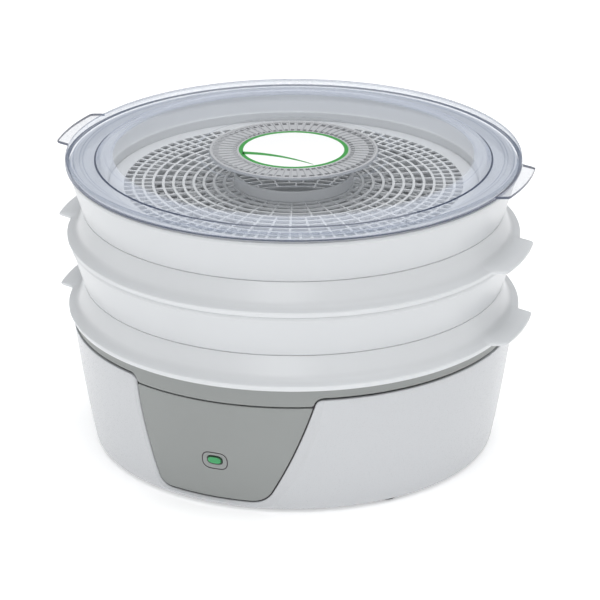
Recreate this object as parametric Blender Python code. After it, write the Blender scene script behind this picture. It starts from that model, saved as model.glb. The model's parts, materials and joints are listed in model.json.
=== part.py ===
"""Round stacking food dehydrator: a fan base, four perforated trays and a clear vented lid.

Lengths are in millimetres and are turned into metres as each mesh is made. The origin is on the
floor under the middle of the machine, +Z is up and the control panel faces -Y.
"""
import bpy
import bmesh
from math import cos, sin, pi, radians
from mathutils import Matrix, Vector

MM = 0.001
GAP = 0.3                   # clearance between pieces that touch
FRONT = -90.0               # direction of the control panel, in degrees
STACK_SIDES = 36            # flats around the trays and the lid
BASE_SIDES = 36             # flats around the base

# ---------------------------------------------------------------- driving dimensions
WALL = 2.0                  # tray and lid wall
RIM_R = 168.3               # rim of a handled tray
TAB_R = 179.0               # tip of a lifting tab
TAB_ROOT, TAB_TIP = 12.5, 10.0      # half angles of a tab at its root and its tip, degrees
NECK_R = 156.4              # where a plain tray stands on a handled one
HUB_R = 42.0                # air hole through the middle of every tray
BASIN_R, LEDGE_R = 137.0, 133.0     # food area, and the ledge under its edge
HANDLED_H = 18.8            # rim top to neck on a handled tray
RIM_T, SKIRT_H = 1.8, 4.3   # thickness of the rim, and how far its skirt reaches below its top
PLAIN_WALL_H = 28.9         # neck to bead on a plain tray
PLAIN_LAND_H = 32.5         # neck to the land that the next rim stands on
PLAIN_TOP_H = 35.0          # neck to the top of the locating ring
LOWER_RIM_Z = 107.3                                         # top of tray 1's rim
LOWER_NECK_Z = LOWER_RIM_Z + HANDLED_H + GAP                # foot of tray 2
UPPER_RIM_Z = LOWER_NECK_Z + PLAIN_LAND_H + GAP + SKIRT_H   # top of tray 3's rim
UPPER_NECK_Z = UPPER_RIM_Z + HANDLED_H + GAP                # foot of tray 4
LID_RECESS = 0.7            # seat under the lid, above the underside of its edge
LID_EDGE_Z = UPPER_NECK_Z + PLAIN_TOP_H + GAP - LID_RECESS  # underside of the lid's edge
LID_EDGE_R = 168.5
VENT_R = 62.2               # slotted cap in the lid
LABEL_R = 40.3

SHELL_BOTTOM_Z, SHELL_TOP_Z = 2.2, 94.4
SHELL_T = 2.6
PANEL_STEP = 1.2            # how far the panel lies behind the shell's face
PANEL_BOTTOM_Z, PANEL_TOP_Z = 6.9, 88.0
PANEL_GAP = 0.9
APRON_HALF = 23.5           # half angle of the deck's apron over the panel, degrees
DECK_R = 164.0
DECK_TOP_Z = LOWER_RIM_Z - RIM_T - GAP
LENS_X, LENS_Z = -4.1, 39.8
LENS_SIZE = (6.5, 4.0)      # half width and half height of the indicator lens
GLAND_Z = 20.0

COVER_Z = (2.6, 5.0)        # bottom cover's lower and upper faces
FOOT_AT, FOOT_R = 138.0, 8.0
FOOT_ANGLES = (41.0, 139.0, 221.0, 319.0)
POST_AT, POST_R = 110.0, 4.5        # deck posts that take the cover screws
POST_ANGLES = (0.0, 90.0, 180.0, 270.0)
MOUNT_AT = 69.0                     # posts on the cover that carry the motor plate
MOUNT_ANGLES = (32.0, 152.0, 272.0)
PLATE_Z = (40.3, 42.3)              # motor plate
SHAFT_R = 2.0
BORE = SHAFT_R + GAP
STATOR_Z = (16.0, 34.0)
MOTOR_SCREW_X = 26.0
DUCT_R = 63.0                       # inside of the heat shield
HEATER_Z, HEATER_R, ELEMENT_R = 88.0, 42.0, 4.0


def shell_radius(z):
    """Outer radius of the base at height z: it flares gently towards the top."""
    return 149.3 + 0.2023 * z - 0.00044 * z * z


# ---------------------------------------------------------------- mesh helpers
def finish(name, colour, roughness, metallic=0.0, alpha=1.0):
    """A Principled material."""
    material = bpy.data.materials.new(name)
    material.use_nodes = True
    shader = material.node_tree.nodes["Principled BSDF"]
    shader.inputs["Base Color"].default_value = (*colour, 1.0)
    shader.inputs["Roughness"].default_value = roughness
    shader.inputs["Metallic"].default_value = metallic
    shader.inputs["Alpha"].default_value = alpha
    return material


def put(name, mesh_data, material, parent=None, matrix=None):
    """Make an object from a bmesh, smooth its round sides and hang it on its body's empty."""
    bmesh.ops.recalc_face_normals(mesh_data, faces=mesh_data.faces)
    mesh = bpy.data.meshes.new(name)
    mesh_data.to_mesh(mesh)
    mesh_data.free()
    mesh.shade_smooth()
    mesh.set_sharp_from_angle(angle=radians(32))
    mesh.materials.append(material)
    thing = bpy.data.objects.new(name, mesh)
    bpy.context.scene.collection.objects.link(thing)
    if matrix is not None:
        thing.matrix_world = matrix
    if parent is not None:
        thing.parent = parent
    return thing


def even(sides, *extra):
    """Evenly spaced angles in degrees, with any extra ones that a detail needs."""
    angles = {round(360.0 * i / sides, 3) for i in range(sides)}
    return sorted(angles | {round(a % 360.0, 3) for a in extra})


def turned(outline, angles, openings=(), closed=True):
    """Turn a closed outline of (radius, z) points about Z.

    outline is a list, or a function of the angle that returns one. Each opening is
    (inner radius, outer radius, test of the middle angle) and cuts cells through a floor whose
    upper and lower faces both have points at those radii. closed=False leaves a sector with
    flat ends.
    """
    outline_at = outline if callable(outline) else lambda angle: outline
    shape = bmesh.new()
    first = outline_at(angles[0])
    count = len(first)
    rings = [[] for _ in first]
    for angle in angles:
        a = radians(angle)
        for ring, (r, z) in zip(rings, outline_at(angle)):
            if r == 0.0 and ring:
                ring.append(ring[0])
            else:
                ring.append(shape.verts.new((r * cos(a) * MM, r * sin(a) * MM, z * MM)))
    steps = len(angles) if closed else len(angles) - 1

    def face(corners):
        distinct = list(dict.fromkeys(corners))
        if len(distinct) > 2:
            shape.faces.new(distinct)

    def middle(i):
        ahead = angles[(i + 1) % len(angles)]
        return (angles[i] + ((ahead - angles[i]) % 360.0) / 2.0) % 360.0

    floors = {}
    for r_in, r_out, is_open in openings:
        edges = [k for k in range(count)
                 if {first[k][0], first[(k + 1) % count][0]} == {r_in, r_out}]
        upper, lower = edges
        for k in edges:
            floors[k] = is_open
        for i in range(steps):
            if not is_open(middle(i)):
                continue
            j = (i + 1) % len(angles)
            pairs = [(k, (k + 1) % count) for k in (upper, lower)]
            inner_u, outer_u = sorted(pairs[0], key=lambda p: first[p][0])
            inner_l, outer_l = sorted(pairs[1], key=lambda p: first[p][0])
            face([rings[inner_u][i], rings[inner_u][j], rings[inner_l][j], rings[inner_l][i]])
            face([rings[outer_u][i], rings[outer_u][j], rings[outer_l][j], rings[outer_l][i]])
            if not is_open(middle((i - 1) % len(angles))):
                face([rings[inner_u][i], rings[outer_u][i], rings[outer_l][i], rings[inner_l][i]])
            if not is_open(middle(j)):
                face([rings[inner_u][j], rings[outer_u][j], rings[outer_l][j], rings[inner_l][j]])
    for k in range(count):
        ring, following = rings[k], rings[(k + 1) % count]
        for i in range(steps):
            if k in floors and floors[k](middle(i)):
                continue
            j = (i + 1) % len(angles)
            face([ring[i], ring[j], following[j], following[i]])
    if not closed:
        for end in (0, -1):
            face([ring[end] for ring in rings])
    return shape


def alternate(sides, shift=0):
    """Test that is true in every second sector of an evenly divided circle."""
    return lambda angle: (int(angle * sides / 360.0) + shift) % 2 == 0


def extruded(outline, start, end, axis="Y"):
    """Extrude a closed outline. Along Y the outline is (x, z), along Z it is (x, y)."""
    shape = bmesh.new()
    faces = []
    for level in (start, end):
        if axis == "Y":
            points = [(u, level, v) for u, v in outline]
        else:
            points = [(u, v, level) for u, v in outline]
        faces.append([shape.verts.new(Vector(p) * MM) for p in points])
    for ring in faces:
        shape.faces.new(ring)
    for i in range(len(outline)):
        j = (i + 1) % len(outline)
        shape.faces.new([faces[0][i], faces[0][j], faces[1][j], faces[1][i]])
    return shape


def block(low, high):
    """A rectangular block between two corners."""
    outline = [(low[0], low[1]), (high[0], low[1]), (high[0], high[1]), (low[0], high[1])]
    return extruded(outline, low[2], high[2], axis="Z")


def stepped_oval(levels, sides=20):
    """A solid stacked from ovals: each level is (height, half width, half depth)."""
    shape = bmesh.new()
    rings = []
    for height, half_x, half_y in levels:
        turn = [2 * pi * i / sides for i in range(sides)]
        rings.append([shape.verts.new(Vector((half_x * cos(a), half_y * sin(a), height)) * MM)
                      for a in turn])
    shape.faces.new(rings[0])
    shape.faces.new(rings[-1])
    for below, above in zip(rings, rings[1:]):
        for i in range(sides):
            j = (i + 1) % sides
            shape.faces.new([below[i], below[j], above[j], above[i]])
    return shape


def pin(radius, low, high, sides=12):
    """A plain cylinder about Z, turned half a flat so that a cut never meets a facet's edge."""
    angles = [360.0 * (i + 0.5) / sides for i in range(sides)]
    return turned([(radius, high), (radius, low), (0.0, low), (0.0, high)], angles)


def at(angle, radius, z=0.0):
    """Matrix that moves a piece made on the Z axis to a place around the machine."""
    a = radians(angle)
    return Matrix.Translation(Vector((radius * cos(a), radius * sin(a), z)) * MM)


def bend(start, control, end, steps):
    """Points of a quadratic curve, without its last point."""
    points = []
    for i in range(steps):
        t = i / steps
        points.append(tuple((1 - t) ** 2 * s + 2 * t * (1 - t) * c + t * t * e
                            for s, c, e in zip(start, control, end)))
    return points


def combine(target, tool, operation):
    """Join a tool to an object, or cut it out, and keep the result as the object's mesh."""
    modifier = target.modifiers.new("combine", "BOOLEAN")
    modifier.operation = operation
    modifier.object = tool
    bpy.context.view_layer.update()
    graph = bpy.context.evaluated_depsgraph_get()
    result = bpy.data.meshes.new_from_object(target.evaluated_get(graph))
    target.modifiers.remove(modifier)
    target.data = result
    bpy.data.objects.remove(tool, do_unlink=True)


def cut(target, mesh_data, matrix=None):
    combine(target, put("cutter", mesh_data, target.data.materials[0], matrix=matrix), "DIFFERENCE")


def join(target, mesh_data, matrix=None):
    combine(target, put("addition", mesh_data, target.data.materials[0], matrix=matrix), "UNION")


def body_empty(name, parent=None):
    empty = bpy.data.objects.new(name, None)
    bpy.context.scene.collection.objects.link(empty)
    empty.parent = parent
    return empty


# ---------------------------------------------------------------- tray and lid outlines
def tab_reach(angle, rim):
    """Radius of the rim's edge at an angle: the rim itself, or a tab on the X axis."""
    off = abs((angle + 90.0) % 180.0 - 90.0)
    return TAB_R if off <= TAB_TIP + 0.01 else rim


def tab_angles(sides):
    corners = [centre + side * TAB_ROOT for centre in (0.0, 180.0) for side in (-1, 1)]
    corners += [centre + side * TAB_TIP for centre in (0.0, 180.0) for side in (-1, 1)]
    return even(sides, *corners)


def floor_height(name):
    """Underside of a tray's basin floor, above the machine's foot."""
    rims = {"tray_1": LOWER_RIM_Z, "tray_3": UPPER_RIM_Z}
    necks = {"tray_2": LOWER_NECK_Z, "tray_4": UPPER_NECK_Z}
    return rims[name] + 6.0 if name in rims else necks[name] + 15.1


def basin(floor_z):
    """Basin wall, from outside to inside, with the ledge that carries the perforated floor."""
    return [
        (BASIN_R + WALL, floor_z + 7.2), (BASIN_R + WALL, floor_z - 1.5), (LEDGE_R, floor_z - 1.5),
        (LEDGE_R, floor_z), (BASIN_R, floor_z), (BASIN_R, floor_z + 9.0),
    ]


def floor_outline(floor_z):
    """Flat perforated floor: underside inwards, then the upper side back out."""
    low, high = floor_z + GAP, floor_z + 1.8
    radii = [BASIN_R - 7, 94.0, 88.0, 52.0]
    outline = [(BASIN_R - GAP, high), (BASIN_R - GAP, low)]
    outline += [(r, low) for r in radii]
    outline += [(HUB_R, low), (HUB_R, high)]
    return outline + [(r, high) for r in reversed(radii)]


def collar_outline(floor_z):
    """Upright collar round the air hole in the middle of a tray, standing on its floor."""
    low, high = floor_z + 1.8 + GAP, floor_z + 10.0
    return [(HUB_R, low), (HUB_R, high), (HUB_R + WALL, high), (HUB_R + WALL, low)]


FLOOR_OPENINGS = (
    (94.0, BASIN_R - 7, alternate(STACK_SIDES)),
    (52.0, 88.0, alternate(STACK_SIDES, 1)),
)


def handled_tray_outline(rim_z, floor_z):
    """Tray with a rim and tabs at its foot: the wall leans in to the neck above."""
    neck_z = rim_z + HANDLED_H

    def outline(angle):
        edge = tab_reach(angle, RIM_R)
        return [
            (NECK_R, neck_z), (161.4, rim_z + 2.2), (edge, rim_z), (edge, rim_z - RIM_T),
            (167.0, rim_z - RIM_T), (167.0, rim_z - SKIRT_H), (165.2, rim_z - SKIRT_H),
            (165.2, rim_z - RIM_T), (160.6, rim_z - RIM_T), (156.0, floor_z + 7.2),
            *basin(floor_z), (155.4, floor_z + 9.0), (NECK_R - WALL, neck_z),
        ]
    return outline


def plain_tray_outline(neck_z, floor_z):
    """Ring tray: it stands on a neck, flares outwards and ends in a bead and a locating ring."""
    return [
        (164.8, neck_z + PLAIN_TOP_H), (164.8, neck_z + PLAIN_LAND_H),
        (166.2, neck_z + PLAIN_LAND_H), (166.2, neck_z + PLAIN_WALL_H + 0.8),
        (165.2, neck_z + PLAIN_WALL_H), (NECK_R, neck_z),
        (NECK_R - WALL - GAP, neck_z), (NECK_R - WALL - GAP, neck_z - 3.0),
        (NECK_R - 2 * WALL - GAP, neck_z - 3.0), (NECK_R - 2 * WALL - GAP, neck_z + 0.5),
        (161.2, floor_z + 7.2), *basin(floor_z), (161.8, floor_z + 9.0), (162.6, neck_z + PLAIN_WALL_H), (162.6, neck_z + PLAIN_TOP_H),
    ]


def lid_outline(angle):
    """Clear cover: an edge with tabs, one step up to the window and a seat for the vent cap."""
    edge = tab_reach(angle, LID_EDGE_R)
    lip_top, tab_top, tab_low = LID_EDGE_Z + 5.8, LID_EDGE_Z + 4.2, LID_EDGE_Z + 2.2
    return [
        (166.2, lip_top), (168.1, lip_top), (168.2, tab_top), (edge, tab_top), (edge, tab_low),
        (168.2, tab_low), (168.1, LID_EDGE_Z), (165.2, LID_EDGE_Z),
        (165.2, LID_EDGE_Z + LID_RECESS), (146.8, LID_EDGE_Z + LID_RECESS), (144.6, 221.4),
        (68.0, 222.6), (66.0, 220.9), (59.4, 220.9), (59.4, 222.6),
        (VENT_R + 0.4, 222.6), (VENT_R + 0.4, 226.4), (67.5, 226.4),
        (69.5, 224.6), (144.0, 223.4), (146.6, 219.9), (165.4, 219.9),
    ]


# ---------------------------------------------------------------- base
def notch_outline(inset):
    """Front view (x, z) of the panel's opening in the shell; inset gives the panel itself."""
    top = 110.0
    left = bend((-68.5 + inset, top), (-65.6 + inset, 56.0), (-54.0 + inset, 16.0), 6)
    left_corner = bend((-54.0 + inset, 16.0), (-51.4 + inset, PANEL_BOTTOM_Z + inset),
                       (-42.0, PANEL_BOTTOM_Z + inset), 4)
    right_corner = bend((20.0, PANEL_BOTTOM_Z + inset), (32.3 - inset, PANEL_BOTTOM_Z + inset),
                        (38.0 - inset, 17.0), 4)
    right = bend((38.0 - inset, 17.0), (60.9 - inset, 56.5), (76.5 - inset, top), 6)
    return (left + left_corner + [(-42.0, PANEL_BOTTOM_Z + inset)] + right_corner + right
            + [(76.5 - inset, top)])


def lens_frame():
    """Matrix at the lens: its Z axis points out of the panel, its X axis runs along it."""
    z = LENS_Z
    radius = shell_radius(z) - PANEL_STEP
    lean = (shell_radius(z + 1.0) - shell_radius(z - 1.0)) / 2.0
    place = Vector((LENS_X, -(radius ** 2 - LENS_X ** 2) ** 0.5, z)) * MM
    outward = Vector((LENS_X, place.y / MM, -lean * radius)).normalized()
    across = Vector((0.0, 0.0, 1.0)).cross(outward).normalized()
    up = outward.cross(across)
    frame = Matrix((across, up, outward)).transposed().to_4x4()
    return Matrix.Translation(place) @ frame


def build_shell(materials, body):
    heights = (SHELL_TOP_Z, 72.0, 48.0, 24.0, 5.0)
    outer = [(shell_radius(z), z) for z in heights] + [(148.4, SHELL_BOTTOM_Z)]
    inner = [(146.4, SHELL_BOTTOM_Z)]
    inner += [(shell_radius(z) - SHELL_T, z) for z in (24.0, 48.0, 72.0, 91.8)]
    lip = [(158.5, 91.8), (158.5, SHELL_TOP_Z)]
    shell = put("base_shell", turned(outer + inner + lip, even(BASE_SIDES)),
                materials["white"], body)
    cut(shell, extruded(notch_outline(0.0), -190.0, -100.0))
    inlet = turned([(7.6, 175.0), (7.6, 130.0), (0.0, 130.0), (0.0, 175.0)], even(16))
    cut(shell, inlet, Matrix.Translation((0, 0, GLAND_Z * MM)) @ Matrix.Rotation(-pi / 2, 4, "X"))


def build_panel(materials, body):
    heights = (PANEL_TOP_Z, 66.0, 44.0, 22.0, PANEL_BOTTOM_Z)
    outer = [(shell_radius(z) - PANEL_STEP, z) for z in heights]
    inner = [(shell_radius(z) - PANEL_STEP - 2.4, z) for z in reversed(heights)]
    sector = [FRONT + 4.0 * step for step in range(-8, 9)]
    panel = put("control_panel", turned(outer + inner, sector, closed=False),
                materials["grey"], body)
    mask = put("mask", extruded(notch_outline(PANEL_GAP), -190.0, -100.0), materials["grey"])
    combine(panel, mask, "INTERSECT")
    half_x, half_z = LENS_SIZE
    cut(panel, stepped_oval([(-12.0, half_x + 0.4, half_z + 0.4), (8.0, half_x + 0.4, half_z + 0.4)]),
        lens_frame())


def build_indicator(materials, body):
    half_x, half_z = LENS_SIZE
    frame = lens_frame()
    lens = stepped_oval([(-4.2, half_x + 2.2, half_z + 2.2), (-2.9, half_x + 2.2, half_z + 2.2),
                         (-2.9, half_x, half_z), (0.1, half_x, half_z),
                         (0.9, half_x - 1.4, half_z - 1.2)])
    put("indicator_lens", lens, materials["green"], body, frame)
    lamp = turned([(2.4, -8.0), (2.4, -15.0), (0.0, -15.0), (0.0, -5.0), (1.4, -5.4)], even(12))
    put("indicator_lamp", lamp, materials["amber"], body, frame)
    holder = turned([(5.5, -5.0), (5.5, -18.0), (0.0, -18.0), (0.0, -15.4), (2.8, -15.4),
                     (2.8, -5.0)], even(16))
    put("lamp_holder", holder, materials["white"], body, frame)


def build_deck(materials, body):
    def outline(angle):
        apron = abs((angle - FRONT + 180.0) % 360.0 - 180.0) <= APRON_HALF + 0.01
        if apron:
            edge = [(DECK_R, DECK_TOP_Z), (163.3, PANEL_TOP_Z + 1.1), (161.2, PANEL_TOP_Z + 1.1),
                    (161.0, PANEL_TOP_Z + 1.5)]
        else:
            edge = [(DECK_R, DECK_TOP_Z), (DECK_R, 96.0), (161.5, 96.0), (161.5, 94.7)]
        return edge + [
            (157.6, 94.7), (157.6, 88.0), (156.0, 88.0), (156.0, 96.8), (60.4, 94.8),
            (55.6, 106.4), (50.0, 106.4), (50.0, 108.6), (54.6, 108.6), (54.6, 111.0),
            (57.5, 111.0), (62.0, 97.0), (156.0, 99.0), (158.0, DECK_TOP_Z),
        ]
    ends = [FRONT - APRON_HALF, FRONT + APRON_HALF,
            FRONT - APRON_HALF - 0.3, FRONT + APRON_HALF + 0.3]
    deck = put("base_deck", turned(outline, even(BASE_SIDES, *ends)), materials["grey"], body)
    post = [(POST_R, 96.9), (POST_R, COVER_Z[1] + GAP), (1.9, COVER_Z[1] + GAP), (1.9, 19.0),
            (0.0, 19.0), (0.0, 96.9)]
    for angle in POST_ANGLES:
        join(deck, turned(post, even(8)), at(angle, POST_AT))


def build_cover(materials, body):
    low, high = COVER_Z
    outline = [(145.9, high), (145.9, low), (61.0, low), (22.0, low), (0.0, low), (0.0, high),
               (22.0, high), (61.0, high)]
    slots = ((22.0, 61.0, alternate(BASE_SIDES)),)
    cover = put("bottom_cover", turned(outline, even(BASE_SIDES), slots), materials["white"], body)
    post = [(4.2, PLATE_Z[0] - GAP), (4.2, high - 1.0), (0.0, high - 1.0), (0.0, 30.0),
            (1.7, 30.0), (1.7, PLATE_Z[0] - GAP)]
    for angle in MOUNT_ANGLES:
        join(cover, turned(post, even(8)), at(angle, MOUNT_AT))
    for angle in FOOT_ANGLES:
        cut(cover, pin(3.2, 0.0, 10.0), at(angle, FOOT_AT))
    for angle in POST_ANGLES:
        cut(cover, pin(1.9, 0.0, 10.0), at(angle, POST_AT))


def build_feet(materials, body):
    foot = [(FOOT_R, 2.3), (FOOT_R, 0.6), (FOOT_R - 0.6, 0.0), (0.0, 0.0), (0.0, 7.6), (4.0, 5.3),
            (2.8, 5.3), (2.8, 2.3)]
    for number, angle in enumerate(FOOT_ANGLES, 1):
        put(f"foot_{number}", turned(foot, even(12)), materials["rubber"], body, at(angle, FOOT_AT))


def screw(length, shank, head):
    """Pan-head screw that points up +Z from the underside of its head at z = 0."""
    return turned([(head, -1.7), (0.0, -1.7), (0.0, length), (shank, length), (shank, 0.0),
                   (head, 0.0)], even(8))


def build_screws(materials, body):
    upside_down = Matrix.Rotation(pi, 4, "X")
    for number, angle in enumerate(POST_ANGLES, 1):
        put(f"cover_screw_{number}", screw(14.0, 1.5, 3.2), materials["steel"], body,
            at(angle, POST_AT, COVER_Z[0] - GAP))
    for number, angle in enumerate(MOUNT_ANGLES, 1):
        put(f"plate_screw_{number}", screw(10.0, 1.3, 2.8), materials["steel"], body,
            at(angle, MOUNT_AT, PLATE_Z[1] + GAP) @ upside_down)
    for number, side in enumerate((-1, 1), 1):
        put(f"motor_screw_{number}", screw(37.0, 1.5, 3.2), materials["steel"], body,
            Matrix.Translation(Vector((side * MOTOR_SCREW_X, 0.0, 9.7)) * MM))


def build_motor(materials, body, rotor):
    low, high = STATOR_Z
    stator = put("motor_stator", block((-30.0, -24.0, low), (30.0, 44.0, high)),
                 materials["steel"], body)
    cut(stator, pin(13.4, 0.0, 60.0, 16))
    cut(stator, block((-18.0, 17.0, 0.0), (18.0, 32.0, 60.0)))
    for side in (-1, 1):
        cut(stator, pin(1.9, 0.0, 60.0), Matrix.Translation((side * MOTOR_SCREW_X * MM, 0, 0)))
    coil = put("motor_coil", block((-17.0, 25.0, low - 7.0), (17.0, 51.0, high + 5.8)),
               materials["copper"], body)
    cut(coil, block((-40.0, 32.0 - GAP, low - GAP), (40.0, 44.0 + GAP, high + GAP)))
    lower = [(-30, 10), (30, 10), (30, low - GAP), (21, low - GAP), (21, 13), (-21, 13),
             (-21, low - GAP), (-30, low - GAP)]
    upper = [(-30, high + GAP), (-21, high + GAP), (-21, 37), (21, 37), (21, high + GAP),
             (30, high + GAP), (30, 40), (-30, 40)]
    for name, outline in (("bearing_bridge_lower", lower), ("bearing_bridge_upper", upper)):
        bridge = put(name, extruded(outline, -8.0, 8.0), materials["cast"], body)
        cut(bridge, pin(5.3, 0.0, 60.0, 16))
        for side in (-1, 1):
            cut(bridge, pin(1.9, 0.0, 60.0), Matrix.Translation((side * MOTOR_SCREW_X * MM, 0, 0)))
    bush = [(5.0, 3.0), (5.0, 0.0), (BORE, 0.0), (BORE, 3.0)]
    for name, z in (("bearing_lower", 10.0), ("bearing_upper", 37.0)):
        put(name, turned(bush, even(12)), materials["bronze"], body,
            Matrix.Translation((0, 0, z * MM)))
    put("motor_shaft", pin(SHAFT_R, 8.0, 66.0, 16), materials["steel"], rotor)
    core = [(12.6, high + 0.5), (12.6, low - 0.5), (BORE, low - 0.5), (BORE, high + 0.5)]
    put("motor_rotor", turned(core, even(16)), materials["steel"], rotor)


def build_plate(materials, body):
    low, high = PLATE_Z
    outline = [(74.0, high), (74.0, low), (60.0, low), (32.0, low), (6.0, low), (6.0, high),
               (32.0, high), (60.0, high)]

    def window(angle):
        """Open between four arms on the X and Y axes."""
        return (angle + 15.0) % 90.0 > 30.0

    plate = put("motor_plate", turned(outline, even(24), ((32.0, 60.0, window),)),
                materials["steel"], body)
    for angle in MOUNT_ANGLES:
        cut(plate, pin(1.7, 0.0, 60.0), at(angle, MOUNT_AT))
    for side in (-1, 1):
        cut(plate, pin(1.9, 0.0, 60.0), Matrix.Translation((side * MOTOR_SCREW_X * MM, 0, 0)))


def build_fan(materials, rotor):
    hub = [(8.0, 61.0), (8.0, 47.0), (BORE, 47.0), (BORE, 61.0)]
    fan = put("fan_impeller", turned(hub, even(16)), materials["black"], rotor)
    blades = 7
    for number in range(blades):
        pitch = Matrix.Rotation(radians(32), 4, "X")
        turn = Matrix.Rotation(2 * pi * number / blades, 4, "Z")
        blade = block((6.5, -9.0, -0.8), (57.0, 9.0, 0.8))
        join(fan, blade, Matrix.Translation((0, 0, 54.0 * MM)) @ turn @ pitch)
    nut = [(4.0, 64.4), (4.0, 61.3), (BORE, 61.3), (BORE, 64.4)]
    put("fan_nut", turned(nut, even(6)), materials["steel"], rotor)


def build_heater(materials, body):
    low = PLATE_Z[1] + GAP
    shield = [(DUCT_R + 1.0, 94.0), (DUCT_R + 1.0, low), (DUCT_R, low), (DUCT_R, 94.0)]
    put("heat_shield", turned(shield, even(24)), materials["steel"], body)
    frame = put("heater_frame", block((-62.0, -0.8, 74.0), (62.0, 0.8, 92.0)),
                materials["mica"], body)
    join(frame, block((-0.8, -62.0, 74.0), (0.8, 62.0, 92.0)))

    def tube(radius, sides):
        around = [2 * pi * i / sides for i in range(sides)]
        return [(HEATER_R + radius * cos(a), HEATER_Z + radius * sin(a)) for a in around]

    cut(frame, turned(tube(ELEMENT_R + 0.7, 8), even(24)))
    put("heater_element", turned(tube(ELEMENT_R, 8), even(24)), materials["copper"], body)


def build_safety(materials, body):
    outward = Matrix.Rotation(pi / 2, 4, "Y")
    turn = Matrix.Rotation(radians(60), 4, "Z")
    can = [(7.0, DUCT_R + 8.0), (7.0, DUCT_R + 1.5), (0.0, DUCT_R + 1.5), (0.0, DUCT_R + 10.0),
           (5.0, DUCT_R + 10.0), (5.0, DUCT_R + 8.0)]
    lift = Matrix.Translation((0, 0, 72.0 * MM))
    put("thermostat", turned(can, even(16)), materials["cast"], body, lift @ turn @ outward)
    fuse = [(0.8, 84.0), (2.0, 80.0), (2.0, 68.0), (0.8, 64.0), (0.0, 64.0), (0.0, 84.0)]
    put("thermal_fuse", turned(fuse, even(12)), materials["cast"], body, at(-50.0, DUCT_R + 4.0))
    floor = COVER_Z[1] + GAP
    terminals = [(-13.0, floor), (13.0, floor), (13.0, 13.0), (9.0, 17.0), (-9.0, 17.0),
                 (-13.0, 13.0)]
    put("terminal_block", extruded(terminals, 88.0, 99.0), materials["white"], body,
        Matrix.Translation((-45.0 * MM, 0, 0)))
    gland = [(9.6, 159.0), (9.6, 155.8), (7.0, 155.8), (7.0, 147.6), (9.6, 147.6), (9.6, 139.0),
             (6.0, 136.0), (3.6, 136.0), (3.6, 159.0)]
    put("cord_gland", turned(gland, even(16)), materials["black"], body,
        Matrix.Translation((0, 0, GLAND_Z * MM)) @ Matrix.Rotation(-pi / 2, 4, "X"))


def build_grille(materials, body):
    outline = [(54.2, 110.9), (54.2, 108.9), (48.0, 108.9), (16.0, 108.9), (0.0, 108.9),
               (0.0, 110.9), (16.0, 110.9), (48.0, 110.9)]
    slots = ((16.0, 48.0, alternate(24)),)
    put("outlet_grille", turned(outline, even(24), slots), materials["grey"], body)


def build_trays(materials, bodies):
    floors = {name: floor_height(name) for name in ("tray_1", "tray_2", "tray_3", "tray_4")}
    tabbed, plain = tab_angles(STACK_SIDES), even(STACK_SIDES)
    plans = (
        ("tray_1", handled_tray_outline(LOWER_RIM_Z, floors["tray_1"]), tabbed),
        ("tray_2", plain_tray_outline(LOWER_NECK_Z, floors["tray_2"]), plain),
        ("tray_3", handled_tray_outline(UPPER_RIM_Z, floors["tray_3"]), tabbed),
        ("tray_4", plain_tray_outline(UPPER_NECK_Z, floors["tray_4"]), plain),
    )
    for name, outline, angles in plans:
        put(name, turned(outline, angles), materials["tray"], bodies[name])
        put(f"{name}_floor", turned(floor_outline(floors[name]), plain, FLOOR_OPENINGS),
            materials["tray"], bodies[name])
        put(f"{name}_collar", turned(collar_outline(floors[name]), plain), materials["tray"],
            bodies[name])


def build_lid(materials, body):
    put("lid", turned(lid_outline, tab_angles(STACK_SIDES)), materials["clear"], body)
    low, high = 222.9, 224.9
    outline = [(VENT_R, high), (VENT_R, low), (60.0, low), (43.0, low), (0.0, low), (0.0, high),
               (43.0, high), (60.0, high)]
    slots = ((43.0, 60.0, alternate(STACK_SIDES)),)
    put("vent_cap", turned(outline, even(STACK_SIDES), slots), materials["frosted"], body)
    put("lid_label", pin(LABEL_R, high + GAP, high + GAP + 0.6, STACK_SIDES), materials["white"],
        body)


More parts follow.
